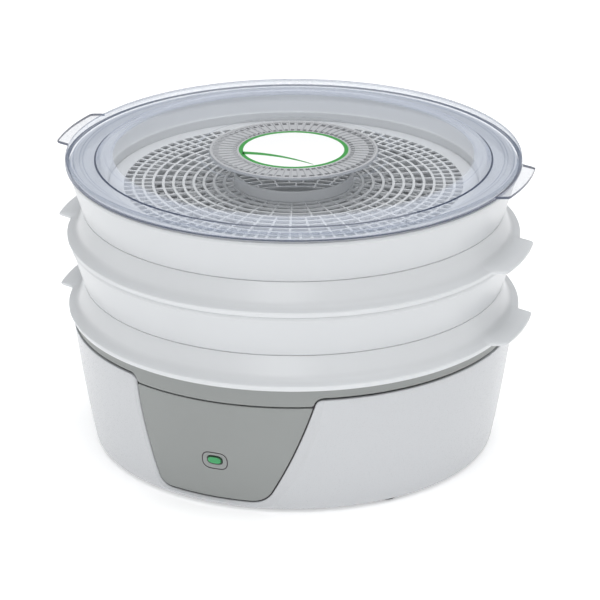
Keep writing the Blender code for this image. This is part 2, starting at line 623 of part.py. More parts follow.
def main():
    for old in list(bpy.data.objects):
        bpy.data.objects.remove(old, do_unlink=True)
    materials = {
        "white": finish("white_plastic", (0.72, 0.74, 0.76), 0.35),
        "tray": finish("tray_plastic", (0.74, 0.76, 0.78), 0.38),
        "grey": finish("grey_plastic", (0.33, 0.34, 0.33), 0.45),
        "clear": finish("clear_plastic", (0.80, 0.86, 0.93), 0.08, alpha=0.35),
        "frosted": finish("frosted_plastic", (0.62, 0.64, 0.67), 0.40, alpha=0.8),
        "green": finish("green_lens", (0.10, 0.55, 0.15), 0.20),
        "amber": finish("lamp_glass", (0.85, 0.45, 0.15), 0.15),
        "rubber": finish("black_rubber", (0.02, 0.02, 0.02), 0.85),
        "black": finish("black_plastic", (0.03, 0.03, 0.03), 0.50),
        "steel": finish("zinc_steel", (0.60, 0.61, 0.63), 0.35, 1.0),
        "cast": finish("cast_alloy", (0.55, 0.55, 0.56), 0.50, 1.0),
        "bronze": finish("sintered_bronze", (0.60, 0.42, 0.22), 0.45, 1.0),
        "copper": finish("copper_wire", (0.72, 0.36, 0.20), 0.40, 1.0),
        "mica": finish("mica_board", (0.62, 0.56, 0.44), 0.70),
    }
    base = body_empty("base_body")
    rotor = body_empty("fan_axis", base)
    names = ("tray_1", "tray_2", "tray_3", "tray_4", "lid")
    bodies = {}
    below = base
    for name in names:
        bodies[name] = body_empty(f"{name}_lift", below)
        below = bodies[name]

    build_shell(materials, base)
    build_panel(materials, base)
    build_indicator(materials, base)
    build_deck(materials, base)
    build_cover(materials, base)
    build_feet(materials, base)
    build_screws(materials, base)
    build_motor(materials, base, rotor)
    build_plate(materials, base)
    build_fan(materials, rotor)
    build_heater(materials, base)
    build_safety(materials, base)
    build_grille(materials, base)
    build_trays(materials, bodies)
    build_lid(materials, bodies["lid"])


main()
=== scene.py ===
"""Looks of a round stacking food dehydrator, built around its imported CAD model.

Profiles and outlines below are in millimetres, in the model's own frame: the origin is on the
floor under the middle of the machine, +Z is up and the control panel faces -Y.
"""

import json
from math import asin, atan2, cos, pi, radians, sin, sqrt

import bmesh
import bpy
import numpy as np
from mathutils import Matrix, Vector
from mathutils.geometry import delaunay_2d_cdt


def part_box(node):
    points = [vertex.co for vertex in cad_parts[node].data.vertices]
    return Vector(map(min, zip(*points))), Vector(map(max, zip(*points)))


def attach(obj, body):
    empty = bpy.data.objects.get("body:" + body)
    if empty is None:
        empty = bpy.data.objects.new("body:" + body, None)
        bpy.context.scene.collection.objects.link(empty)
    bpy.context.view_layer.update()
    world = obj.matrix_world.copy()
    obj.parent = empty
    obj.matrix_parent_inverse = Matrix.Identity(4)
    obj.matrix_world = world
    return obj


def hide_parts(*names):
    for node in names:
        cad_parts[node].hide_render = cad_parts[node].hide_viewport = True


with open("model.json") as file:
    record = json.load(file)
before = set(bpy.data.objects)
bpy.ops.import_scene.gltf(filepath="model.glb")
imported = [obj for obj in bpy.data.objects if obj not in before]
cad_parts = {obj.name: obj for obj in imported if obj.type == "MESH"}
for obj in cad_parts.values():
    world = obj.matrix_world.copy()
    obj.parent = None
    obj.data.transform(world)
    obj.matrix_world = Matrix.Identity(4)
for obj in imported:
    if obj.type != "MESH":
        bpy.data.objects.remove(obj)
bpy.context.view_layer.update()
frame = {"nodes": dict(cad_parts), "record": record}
NODES = frame["nodes"]

MM = 0.001
FRONT = -90.0                   # direction of the control panel, degrees
SEGMENTS = 240                  # steps round the large turned pieces

# Heights of the stack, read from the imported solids, and its radii.
RIM_TOP = {n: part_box(n)[0].z / MM + 4.3 for n in ("tray_1", "tray_3")}
NECK = {n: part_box(n)[0].z / MM + 3.0 for n in ("tray_2", "tray_4")}
LID_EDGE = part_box("lid")[0].z / MM
TAB_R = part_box("tray_1")[1].x / MM
RIM_R, NECK_R, WALL = 168.3, 156.4, 2.0
BASIN_R, LEDGE_R, HUB_R = 137.0, 133.0, 42.0
LID_R = 168.5
DECK_TOP = RIM_TOP["tray_1"] - 2.1
SHELL_BOTTOM, SHELL_TOP = 2.2, 94.4
UNROLL_R = 157.0                # radius at which the base is unrolled to a flat strip
PANEL_TOP = 88.0
PANEL_STEP = 1.2                # how far the panel is set into the shell
PANEL_REACH = 90.0              # the notch lies within this of the front, unrolled
LENS_X, LENS_Z = -4.1, 39.8
LENS_HALF, LENS_HOLE_HALF = (5.75, 3.25), (6.15, 3.65)
EDGE_STEPS = 1.0 - np.cos(np.radians((22.5, 45.0, 67.5, 90.0)))     # points on a rounded edge
RIM_TO_NECK, RIM_TO_FLOOR = 18.8, 6.0       # trays 1 and 3
NECK_TO_FLOOR, NECK_TO_TOP = 15.1, 35.0     # trays 2 and 4
COLLAR_HEIGHT = 10.0

# The photograph's viewing angle, and the camera's aim, in degrees, metres and millimetres of lens.
AZIMUTH, ELEVATION, DISTANCE, LENS = 20.0, 21.94, 2.6, 208.44
LOOK_HEIGHT, AIM_RIGHT, AIM_DOWN = 0.120, 0.00464, 0.01407


# ------------------------------------------------------------------ materials
def nodes_of(name):
    material = bpy.data.materials.new(name)
    material.use_nodes = True
    tree = material.node_tree
    return material, tree, tree.nodes["Principled BSDF"]


def noise(tree, scale, detail=3.0, stretch=None):
    """Noise in the object's own space."""
    where = tree.nodes.new("ShaderNodeTexCoord")
    texture = tree.nodes.new("ShaderNodeTexNoise")
    texture.inputs["Scale"].default_value = scale
    texture.inputs["Detail"].default_value = detail
    if stretch:
        mapping = tree.nodes.new("ShaderNodeMapping")
        mapping.inputs["Scale"].default_value = stretch
        tree.links.new(where.outputs["Object"], mapping.inputs["Vector"])
        tree.links.new(mapping.outputs["Vector"], texture.inputs["Vector"])
    else:
        tree.links.new(where.outputs["Object"], texture.inputs["Vector"])
    return texture.outputs["Fac"]


def ramp(tree, source, dark, light, low=0.3, high=0.7):
    blend = tree.nodes.new("ShaderNodeValToRGB")
    blend.color_ramp.elements[0].position = low
    blend.color_ramp.elements[1].position = high
    blend.color_ramp.elements[0].color = (*dark, 1.0)
    blend.color_ramp.elements[1].color = (*light, 1.0)
    tree.links.new(source, blend.inputs["Fac"])
    return blend.outputs["Color"]


def spread(tree, source, low, high, start=0.3, end=0.7):
    between = tree.nodes.new("ShaderNodeMapRange")
    between.inputs["From Min"].default_value = start
    between.inputs["From Max"].default_value = end
    between.inputs["To Min"].default_value = low
    between.inputs["To Max"].default_value = high
    tree.links.new(source, between.inputs["Value"])
    return between.outputs["Result"]


def moulded(name, colour, rough, grain=700.0, relief=0.12, vary=0.03, stretch=None, **sockets):
    """A moulded or machined surface: slow shifts in colour, fine grain in gloss and relief."""
    material, tree, shader = nodes_of(name)
    dark = tuple(c * (1.0 - vary) for c in colour)
    light = tuple(min(1.0, c * (1.0 + vary)) for c in colour)
    tree.links.new(ramp(tree, noise(tree, 9.0), dark, light), shader.inputs["Base Color"])
    fine = noise(tree, grain, 4.0, stretch)
    tree.links.new(spread(tree, fine, rough * 0.85, rough * 1.15), shader.inputs["Roughness"])
    bump = tree.nodes.new("ShaderNodeBump")
    bump.inputs["Strength"].default_value = relief
    bump.inputs["Distance"].default_value = 0.0003
    tree.links.new(fine, bump.inputs["Height"])
    tree.links.new(bump.outputs["Normal"], shader.inputs["Normal"])
    for socket, value in sockets.items():
        shader.inputs[socket.replace("_", " ")].default_value = value
    return material


def clear(name, face_colour, edge_colour, face_alpha, edge_alpha, rough=0.05):
    """Clear plastic: see-through face on, denser and bluer where it is seen edge on."""
    material, tree, shader = nodes_of(name)
    weight = tree.nodes.new("ShaderNodeLayerWeight")
    weight.inputs["Blend"].default_value = 0.5
    facing = weight.outputs["Facing"]
    tree.links.new(ramp(tree, facing, face_colour, edge_colour, 0.62, 0.97),
                   shader.inputs["Base Color"])
    tree.links.new(spread(tree, facing, face_alpha, edge_alpha, 0.66, 0.98),
                   shader.inputs["Alpha"])
    tree.links.new(spread(tree, noise(tree, 60.0), rough * 0.6, rough * 1.4),
                   shader.inputs["Roughness"])
    shader.inputs["IOR"].default_value = 1.49
    shader.inputs["Specular IOR Level"].default_value = 0.9
    return material


MATERIALS = {
    "white": moulded("white_plastic_fine", (0.580, 0.592, 0.610), 0.30, grain=1500.0, vary=0.012,
                     relief=0.02, Coat_Weight=0.15, Coat_Roughness=0.15),
    "tray": moulded("tray_plastic_fine", (0.655, 0.670, 0.686), 0.33, grain=1500.0, vary=0.012,
                    relief=0.02, Coat_Weight=0.1, Coat_Roughness=0.2),
    # Trays 1 and 3 get a lighter copy of the same tray plastic: painted light, making up for the
    # shade under the trays above them.
    "handled": moulded("handled_tray_fine", (0.735, 0.750, 0.765), 0.33, grain=1500.0,
                       vary=0.012, relief=0.02, Coat_Weight=0.1, Coat_Roughness=0.2),
    "grey": moulded("grey_plastic_fine", (0.290, 0.303, 0.297), 0.42, grain=1500.0, vary=0.02,
                    relief=0.08),
    # Near-black colour for the groove round the lens and the sheet behind the panel's gap: painted
    # shade in these recesses.
    "groove": moulded("recess_painted_shade", (0.10, 0.085, 0.095), 0.6),
    "label": moulded("label_print", (0.97, 0.97, 0.97), 0.35, vary=0.006, relief=0.03),
    "green_print": moulded("green_print", (0.030, 0.31, 0.045), 0.35, vary=0.05, relief=0.03),
    "clear": clear("clear_plastic_fine", (0.80, 0.84, 0.90), (0.45, 0.54, 0.70), 0.03, 0.55),
    "clear_flange": clear("clear_flange", (0.76, 0.81, 0.92), (0.40, 0.48, 0.66), 0.26, 0.66),
    # The edge, lip and ridge finishes are painted shade: dark lines laid on the clear lid where it
    # is seen edge on.
    "clear_edge_painted_shade": clear("clear_edge_painted_shade", (0.012, 0.030, 0.085), (0.010, 0.022, 0.07), 0.92, 0.98),
    "clear_lip_painted_shade": clear("clear_lip_painted_shade", (0.33, 0.38, 0.48), (0.16, 0.20, 0.30), 0.46, 0.85),
    "clear_tab": clear("clear_tab", (0.46, 0.45, 0.48), (0.28, 0.32, 0.42), 0.24, 0.55),
    "clear_ridge_painted_shade": clear("clear_ridge_painted_shade", (0.30, 0.37, 0.50), (0.14, 0.19, 0.29), 0.30, 0.72),
    "frosted": moulded("frosted_plastic_fine", (0.50, 0.51, 0.53), 0.36, vary=0.03, relief=0.06,
                       Alpha=0.93),
    # The lens's sloping sides, flange and back are painted a near-black green: painted shade on
    # the lens edge.
    "lens_rim_painted_shade": moulded("lens_edge_painted_shade", (0.003, 0.05, 0.015), 0.2, vary=0.1, relief=0.02),
    # The lens is given a faint green glow: painted light that brightens it.
    "green": moulded("green_lens_fine", (0.012, 0.30, 0.085), 0.12, vary=0.15, relief=0.02,
                     Coat_Weight=0.6, Emission_Color=(0.02, 0.65, 0.15, 1.0),
                     Emission_Strength=0.05),
    "amber": moulded("lamp_glass_fine", (0.85, 0.42, 0.12), 0.10, vary=0.05, relief=0.02),
    "rubber": moulded("black_rubber_fine", (0.022, 0.022, 0.024), 0.80, grain=1200.0, relief=0.3),
    "black": moulded("black_plastic_fine", (0.030, 0.030, 0.032), 0.45, relief=0.2),
    "steel": moulded("zinc_steel_fine", (0.60, 0.61, 0.63), 0.33, grain=260.0, vary=0.06,
                     stretch=(1.0, 1.0, 9.0), Metallic=1.0),
    "cast": moulded("cast_alloy_fine", (0.55, 0.55, 0.56), 0.50, grain=500.0, vary=0.08,
                    relief=0.4, Metallic=1.0),
    "bronze": moulded("sintered_bronze_fine", (0.60, 0.42, 0.22), 0.48, grain=1800.0, vary=0.1,
                      relief=0.35, Metallic=1.0),
    "copper": moulded("copper_wire_fine", (0.72, 0.34, 0.18), 0.36, grain=300.0, vary=0.08,
                      stretch=(1.0, 14.0, 14.0), Metallic=1.0),
    "mica": moulded("mica_board_fine", (0.60, 0.54, 0.42), 0.65, grain=180.0, vary=0.12,
                    relief=0.35),
}
CAD_FINISH = {
    "white_plastic": "white", "tray_plastic": "tray", "grey_plastic": "grey",
    "clear_plastic": "clear", "frosted_plastic": "frosted", "green_lens": "green",
    "lamp_glass": "amber", "black_rubber": "rubber", "black_plastic": "black",
    "zinc_steel": "steel", "cast_alloy": "cast", "sintered_bronze": "bronze",
    "copper_wire": "copper", "mica_board": "mica",
}
for part in frame["record"]["subparts"]:
    node_mesh = NODES[part["node"]].data
    node_mesh.materials.clear()
    node_mesh.materials.append(MATERIALS[CAD_FINISH[part["material_slot"]]])


# ------------------------------------------------------------------ mesh tools
class Shape:
    """Points and faces of a piece, gathered from several closed shapes."""

    def __init__(self):
        self.points = []
        self.faces = []
        self.paint = []

    def add(self, points, faces, paint=0):
        start = len(self.points)
        self.points.extend(points)
        self.faces.extend(tuple(start + k for k in face) for face in faces)
        self.paint.extend(paint if isinstance(paint, list) else [paint] * len(faces))
        return self

    def piece(self, name, body, materials, slot, replaces=None, sharp=34.0, weld=False,
              matrix=None):
        mesh = bpy.data.meshes.new(name)
        mesh.from_pydata([tuple(c * MM for c in p) for p in self.points], [], self.faces)
        for polygon, index in zip(mesh.polygons, self.paint):
            polygon.material_index = index
        work = bmesh.new()
        work.from_mesh(mesh)
        if weld:
            bmesh.ops.remove_doubles(work, verts=work.verts, dist=1e-6)
        bmesh.ops.recalc_face_normals(work, faces=work.faces)
        work.to_mesh(mesh)
        work.free()
        mesh.shade_smooth()
        mesh.set_sharp_from_angle(angle=radians(sharp))
        for material in materials:
            mesh.materials.append(MATERIALS[material])
        thing = bpy.data.objects.new(name, mesh)
        bpy.context.scene.collection.objects.link(thing)
        if matrix is not None:
            thing.matrix_world = matrix
        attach(thing, body)
        if replaces:
            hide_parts(replaces)
        return thing


def soft(corners, steps=4):
    """Closed outline with rounded corners: each corner is (x, y) or (x, y, rounding reach)."""
    places = [complex(c[0], c[1]) for c in corners]
    outline = []
    for i, corner in enumerate(corners):
        here = places[i]
        reach = corner[2] if len(corner) > 2 else 0.0
        if not reach:
            outline.append((here.real, here.imag))
            continue
        back = places[i - 1] - here
        ahead = places[(i + 1) % len(places)] - here
        start = here + back * min(reach / abs(back), 0.48)
        end = here + ahead * min(reach / abs(ahead), 0.48)
        for k in range(steps + 1):
            t = k / steps
            q = (1 - t) ** 2 * start + 2 * t * (1 - t) * here + t * t * end
            outline.append((q.real, q.imag))
    return outline


def oblong(angle, half):
    """A point on a rounded oblong, between an ellipse and a rectangle."""
    c, s = cos(angle), sin(angle)
    return (half[0] * abs(c) ** 0.7 * (1 if c >= 0 else -1),
            half[1] * abs(s) ** 0.7 * (1 if s >= 0 else -1))


def even(count, *extra):
    """Angles in degrees: count equal steps round the circle, and any extra ones."""
    angles = {round(360.0 * i / count, 4) for i in range(count)}
    return sorted(angles | {round(a % 360.0, 4) for a in extra})


def revolve(shape, outline, angles, paint=None):
    """Turn a closed (radius, z) outline about Z. outline may be a function of the angle."""
    outline_at = outline if callable(outline) else lambda angle: outline
    points, faces, colours = [], [], []
    for angle in angles:
        c, s = cos(radians(angle)), sin(radians(angle))
        ring = outline_at(angle)
        points.extend((r * c, r * s, z) for r, z in ring)
    count = len(ring)
    for i in range(len(angles)):
        j = (i + 1) % len(angles)
        for k in range(count):
            after = (k + 1) % count
            faces.append((i * count + k, j * count + k, j * count + after, i * count + after))
            colours.append(paint(points[i * count + k], points[i * count + after]) if paint else 0)
    return shape.add(points, faces, colours)


def lattice(shape, radii, angles, is_open, top, bottom, paint=0):
    """A polar plate between two heights with openings right through it."""
    rings, steps = len(radii), len(angles)
    points = []
    for z in (bottom, top):
        for r in radii:
            points.extend((r * cos(radians(a)), r * sin(radians(a)), z) for a in angles)

    def at(level, i, j):
        return level * rings * steps + i * steps + j % steps

    def solid(i, j):
        return 0 <= i < rings - 1 and not is_open(i, j % steps)

    faces = []
    for i in range(rings - 1):
        for j in range(steps):
            if not solid(i, j):
                continue
            faces.append((at(1, i, j), at(1, i + 1, j), at(1, i + 1, j + 1), at(1, i, j + 1)))
            faces.append((at(0, i, j), at(0, i, j + 1), at(0, i + 1, j + 1), at(0, i + 1, j)))
            if not solid(i - 1, j):
                faces.append((at(0, i, j), at(1, i, j), at(1, i, j + 1), at(0, i, j + 1)))
            if not solid(i + 1, j):
                faces.append((at(0, i + 1, j), at(0, i + 1, j + 1), at(1, i + 1, j + 1),
                              at(1, i + 1, j)))
            if not solid(i, j - 1):
                faces.append((at(0, i, j), at(0, i + 1, j), at(1, i + 1, j), at(1, i, j)))
            if not solid(i, j + 1):
                faces.append((at(0, i, j + 1), at(1, i, j + 1), at(1, i + 1, j + 1),
                              at(0, i + 1, j + 1)))
    used = sorted({k for face in faces for k in face})
    place = {k: n for n, k in enumerate(used)}
    return shape.add([points[k] for k in used], [tuple(place[k] for k in f) for f in faces],
                     paint)


def box_bar(shape, centre, along, half, low, high, paint=0):
    """A flat bar that lies along a direction: half is (half length, half width)."""
    across = (-along[1], along[0])
    corners = []
    for a, b in ((-1, -1), (1, -1), (1, 1), (-1, 1)):
        corners.append((centre[0] + along[0] * half[0] * a + across[0] * half[1] * b,
                        centre[1] + along[1] * half[0] * a + across[1] * half[1] * b))
    inset = 0.25
    upper = []
    for a, b in ((-1, -1), (1, -1), (1, 1), (-1, 1)):
        upper.append((centre[0] + along[0] * (half[0] - inset) * a
                      + across[0] * (half[1] - inset) * b,
                      centre[1] + along[1] * (half[0] - inset) * a
                      + across[1] * (half[1] - inset) * b))
    points = [(*p, low) for p in corners] + [(*p, high - inset) for p in corners]
    points += [(*p, high) for p in upper]
    faces = [(3, 2, 1, 0), (8, 9, 10, 11)]
    for k in range(4):
        n = (k + 1) % 4
        faces += [(k, n, 4 + n, 4 + k), (4 + k, 4 + n, 8 + n, 8 + k)]
    return shape.add(points, faces, paint)


# ------------------------------------------------------------------ skins cut from a surface
def distance_to(points, starts, ends):
    """Distance from each complex point to the nearest segment, and that segment's index."""
    best = np.full(len(points), 1e9)
    which = np.zeros(len(points), int)
    span = ends - starts
    size = np.maximum(np.abs(span) ** 2, 1e-12)
    for low in range(0, len(points), 400):
        part = points[low:low + 400, None]
        t = np.clip(((part - starts) * np.conj(span)).real / size, 0.0, 1.0)
        gap = np.abs(part - starts - t * span)
        nearest = gap.argmin(1)
        which[low:low + 400] = nearest
        best[low:low + 400] = gap[np.arange(len(nearest)), nearest]
    return best, which


def inside(points, loops):
    """Even-odd test of complex points against closed loops."""
    odd = np.zeros(len(points), bool)
    for loop in loops:
        ahead = np.roll(loop, -1)
        for a, b in zip(loop, ahead):
            crosses = (a.imag > points.imag) != (b.imag > points.imag)
            if crosses.any():
                x = a.real + (points.imag - a.imag) / (b.imag - a.imag) * (b.real - a.real)
                odd ^= crosses & (points.real < x)
    return odd


def spaced(path, step, closed=False):
    """The same path with points no further apart than step."""
    result = []
    last = len(path) if closed else len(path) - 1
    for i in range(last):
        a, b = path[i], path[(i + 1) % len(path)]
        parts = max(1, int(np.ceil(abs(b - a) / step)))
        result.extend(a + (b - a) * k / parts for k in range(parts))
    if not closed:
        result.append(path[-1])
    return np.array(result)


def rounded_edge(gap, size):
    """How far a face has dropped at a distance from its rounded edge."""
    inner = np.clip(1.0 - gap / size, 0.0, 1.0)
    return -size * (1.0 - np.sqrt(1.0 - inner ** 2))


def skin(shape, loops, place, spacing, edge, thick, relief=None, lines=(), seam=None,
         paint=None):
    """A moulded skin with a rounded edge, cut to closed loops in an unrolled surface.

    place(u, z, height) gives a point in space. relief(points) adds height to complex points.
    lines are further points that the mesh has to pass through. seam is the half length of a
    surface that closes on itself. paint(points) picks a material for each face's middle.
    """
    starts = np.concatenate(loops)
    ends = np.concatenate([np.roll(loop, -1) for loop in loops])
    free = np.ones(len(starts), bool)
    if seam:
        free = ~((np.abs(np.abs(starts.real) - seam) < 1e-6) & (np.abs(ends - starts) > 0)
                 & (np.abs(starts.real - ends.real) < 1e-6))
    starts_free, ends_free = starts[free], ends[free]
    normal = []
    for loop in loops:
        ahead = np.roll(loop, -1) - loop
        ahead /= np.abs(ahead)
        both = ahead + np.roll(ahead, 1)
        normal.append(1j * both / np.maximum(np.abs(both), 1e-6))
    normal = np.concatenate(normal)
    bands = edge * EDGE_STEPS
    extra = []
    for band in bands:
        for sign in (1, -1):
            extra.append(starts + normal * sign * band)
    for line in lines:
        extra.append(line)
    low_u, high_u = starts.real.min(), starts.real.max()
    low_z, high_z = starts.imag.min(), starts.imag.max()
    columns = max(2, int(round((high_u - low_u) / spacing)))
    rows = max(2, int(round((high_z - low_z) / spacing)))
    grid_u = np.linspace(low_u, high_u, columns + 1)
    grid_z = np.linspace(low_z, high_z, rows + 1)
    mesh_u, mesh_z = np.meshgrid(grid_u, grid_z[1:-1])
    grid = (mesh_u + 1j * mesh_z).ravel()
    if seam:
        grid = grid[np.abs(grid.real) < seam - 1e-6]
    gap, _ = distance_to(grid, starts_free, ends_free)
    crowd = np.concatenate([np.array([], complex), *lines]) if len(lines) else None
    keep = gap > edge + spacing * 0.3
    if crowd is not None:
        near, _ = distance_to(grid, crowd, crowd + 1e-9)
        keep &= near > spacing * 0.3
    grid = grid[keep]
    bands_points = np.concatenate(extra)
    gap, _ = distance_to(bands_points, starts_free, ends_free)
    level = np.concatenate([np.full(len(starts), band) for band in bands for _ in (1, -1)]
                           + [np.full(len(line), edge) for line in lines])
    bands_points = bands_points[gap > level * 0.96 - 1e-3]
    loose = np.concatenate([bands_points, grid])
    if seam:
        loose = loose[np.abs(loose.real) < seam - 0.05]
    loose = loose[inside(loose, loops)]
    every = np.concatenate([starts, loose])
    edges, first = [], 0
    for loop in loops:
        edges += [(first + k, first + (k + 1) % len(loop)) for k in range(len(loop))]
        first += len(loop)
    verts, _, tris, _, _, _ = delaunay_2d_cdt(
        [Vector((p.real, p.imag)) for p in every], edges, [], 0, 1e-5)
    flat = np.array([complex(v.x, v.y) for v in verts])
    tris = np.array([t for t in tris if len(t) == 3])
    centres = flat[tris].mean(1)
    tris = tris[inside(centres, loops)]
    gap, _ = distance_to(flat, starts_free, ends_free)
    height = rounded_edge(gap, edge)
    if relief is not None:
        height = height + relief(flat)
    outer = [place(p.real, p.imag, h) for p, h in zip(flat, height)]
    inner = [place(p.real, p.imag, -thick) for p in flat]
    count = len(flat)
    faces = [tuple(t) for t in tris]
    colours = list(paint(flat[tris].mean(1))) if paint else [0] * len(faces)
    faces += [tuple(count + k for k in reversed(t)) for t in faces]
    colours += [0] * (len(faces) - len(colours))
    sides = {}
    for t in tris:
        for a, b in ((t[0], t[1]), (t[1], t[2]), (t[2], t[0])):
            sides[(a, b)] = sides.get((a, b), 0) + 1
    for a, b in sides:
        if (b, a) in sides:
            continue
        along_seam = seam and abs(abs(flat[a].real) - seam) < 1e-4
        if along_seam and abs(flat[a].real - flat[b].real) < 1e-4:
            continue
        faces.append((b, a, count + a, count + b))
        colours.append(0)
    used = sorted({k for face in faces for k in face})
    renumber = {k: n for n, k in enumerate(used)}
    both = outer + inner
    return shape.add([both[k] for k in used], [tuple(renumber[k] for k in f) for f in faces],
                     colours)


# ------------------------------------------------------------------ base outlines
def shell_radius(z):
    return 149.3 + 0.2023 * z - 0.00044 * z * z


def bend(start, control, end, steps):
    return [(1 - k / steps) ** 2 * start + 2 * (k / steps) * (1 - k / steps) * control
            + (k / steps) ** 2 * end for k in range(steps)]


def unrolled(p):
    """From a front view (x, z) to the unrolled surface of the base."""
    return complex(UNROLL_R * asin(p.real / shell_radius(p.imag)), p.imag)


def notch_path():
    """The shell's edge round the panel, unrolled, from its top left to its top right."""
    floor = 6.9
    left = bend(complex(-67.6, SHELL_TOP), complex(-65.4, 56.0), complex(-54.0, 16.0), 24)
    left += bend(complex(-54.0, 16.0), complex(-51.4, floor), complex(-42.0, floor), 12)
    right = bend(complex(20.0, floor), complex(32.3, floor), complex(38.0, 17.0), 14)
    right += bend(complex(38.0, 17.0), complex(58.6, 52.5), complex(71.8, SHELL_TOP), 24)
    front = left + [complex(-42.0, floor)] + right + [complex(71.8, SHELL_TOP)]
    return spaced([unrolled(p) for p in front], 1.5)


def fillet_ends(path, reach, z_top, far):
    """Join a notch to the straight top edge with rounded corners."""
    low = path.imag < z_top - reach
    body = path[low]
    first = complex(path[0].real - reach, z_top)
    last = complex(path[-1].real + reach, z_top)
    start = bend(first, complex(path[0].real, z_top), body[0], 6)
    end = bend(body[-1], complex(path[-1].real, z_top), last, 6) + [last]
    top_left = spaced([complex(-far, z_top), first], 2.5)[:-1]
    top_right = spaced([last, complex(far, z_top)], 2.5)[1:]
    return np.concatenate([top_left, start, body[1:-1], end, top_right])


def offset(path, gap):
    """Move an open path to its left by a distance."""
    ahead = np.empty_like(path)
    ahead[1:-1] = path[2:] - path[:-2]
    ahead[0], ahead[-1] = path[1] - path[0], path[-1] - path[-2]
    return path + 1j * ahead / np.abs(ahead) * gap


HALF = pi * UNROLL_R
NOTCH = notch_path()
SHELL_PATH = fillet_ends(NOTCH, 4.5, SHELL_TOP, HALF)


def on_base(radius_at):
    def place(u, z, height):
        angle = radians(FRONT) + u / UNROLL_R
        r = radius_at(z) + height
        return (r * cos(angle), r * sin(angle), z)
    return place


def shell_face(z):
    """The shell's face, with its foot turned under."""
    turn = max(0.0, 5.4 - z) / 3.2
    return shell_radius(z) - 1.5 * turn * turn


def seam_line(low, high, step, edge):
    """Points up the back of the base, where a skin closes on itself."""
    bands = edge * EDGE_STEPS
    middle = spaced([complex(0.0, low + edge), complex(0.0, high - edge)], step)[1:-1].imag
    levels = np.concatenate([low + bands, middle, (high - bands)[::-1]])
    return -HALF + 1j * levels


def build_shell():
    bottom = spaced([complex(HALF, SHELL_BOTTOM), complex(-HALF, SHELL_BOTTOM)], 4.0)
    rise = seam_line(SHELL_BOTTOM, SHELL_TOP, 4.0, 0.7)
    fall = rise[::-1] + 2 * HALF
    loop = np.concatenate([SHELL_PATH, fall, bottom, rise])

    share = np.linspace(0.0, 1.0, len(NOTCH))
    widths = np.interp(share, (0.0, 0.06, 0.34, 0.40, 0.52, 0.62, 0.78, 0.93, 1.0),
                       (1.2, 2.4, 2.6, 1.6, 1.6, 5.5, 9.0, 7.5, 4.5))
    starts, ends = NOTCH[:-1], NOTCH[1:]

    def relief(points):
        near = np.abs(points.real) < 110.0
        height = np.zeros(len(points))
        gap, which = distance_to(points[near], starts, ends)
        t = np.clip(gap / widths[which], 0.0, 1.0)
        slope = -1.15 * (1.0 - t)
        crease = 0.18 * np.exp(-((gap - widths[which]) / 0.9) ** 2)
        height[near] = slope + crease
        return height

    ahead = np.gradient(NOTCH)
    outward = -1j * ahead / np.abs(ahead)
    lines = []
    for part in (0.3, 0.6, 0.85, 1.0, 1.15, 1.4):
        line = NOTCH + outward * widths * part
        lines.append(line[line.imag < SHELL_TOP - 1.5])
    foot = np.linspace(-HALF, HALF, 247)[1:-1]
    for z in (3.4, 4.0, 4.7, 5.6):
        lines.append(foot + 1j * z)
    lines = [line[(line.imag > SHELL_BOTTOM + 0.7)] for line in lines]
    shape = skin(Shape(), [loop], on_base(shell_face), 4.2, 0.7, 2.4, relief, lines, HALF)
    shape.piece("base_shell_skin", "base", ["white"], "white_plastic", "base_shell", weld=True)


def build_deck():
    """Grey ring under the stack, its apron over the panel, and the plate with the air nozzle."""
    path = offset(SHELL_PATH, 1.3)
    apron = PANEL_TOP + 1.4
    high = path.imag >= apron
    left = path[high & (path.real < 0)]
    right = path[high & (path.real > 0)]
    lip = spaced([left[-1], right[0]], 1.5)[1:-1]
    lip = lip.real + 1j * apron
    lower = np.concatenate([left, lip, right])
    lower[0], lower[-1] = complex(-HALF, lower[0].imag), complex(HALF, lower[-1].imag)
    top = spaced([complex(HALF, DECK_TOP), complex(-HALF, DECK_TOP)], 2.5)
    rise = seam_line(lower[0].imag, DECK_TOP, 2.5, 0.5)[::-1]
    fall = (rise + 2 * HALF)[::-1]
    loop = np.concatenate([lower, fall, top, rise])
    ring = on_base(lambda z: 164.0 - (DECK_TOP - z) * 0.045)
    shape = skin(Shape(), [loop], ring, 2.6, 0.5, 2.2, seam=HALF)
    section = soft([(162.6, DECK_TOP - 0.4, 0.3), (158.0, DECK_TOP - 0.4, 0.8), (156.0, 99.0, 2.0),
                    (62.0, 97.0, 3.0), (57.5, 111.0, 0.6), (54.6, 111.0, 0.4), (54.6, 108.6),
                    (50.0, 108.6), (50.0, 106.4), (55.6, 106.4), (60.4, 94.8, 2.0),
                    (156.0, 96.8, 1.0), (160.5, 100.0, 0.8), (162.6, 100.0)])
    revolve(shape, section, even(SEGMENTS))
    shape.piece("deck_ring", "base", ["grey"], "grey_plastic", "base_deck", weld=True)


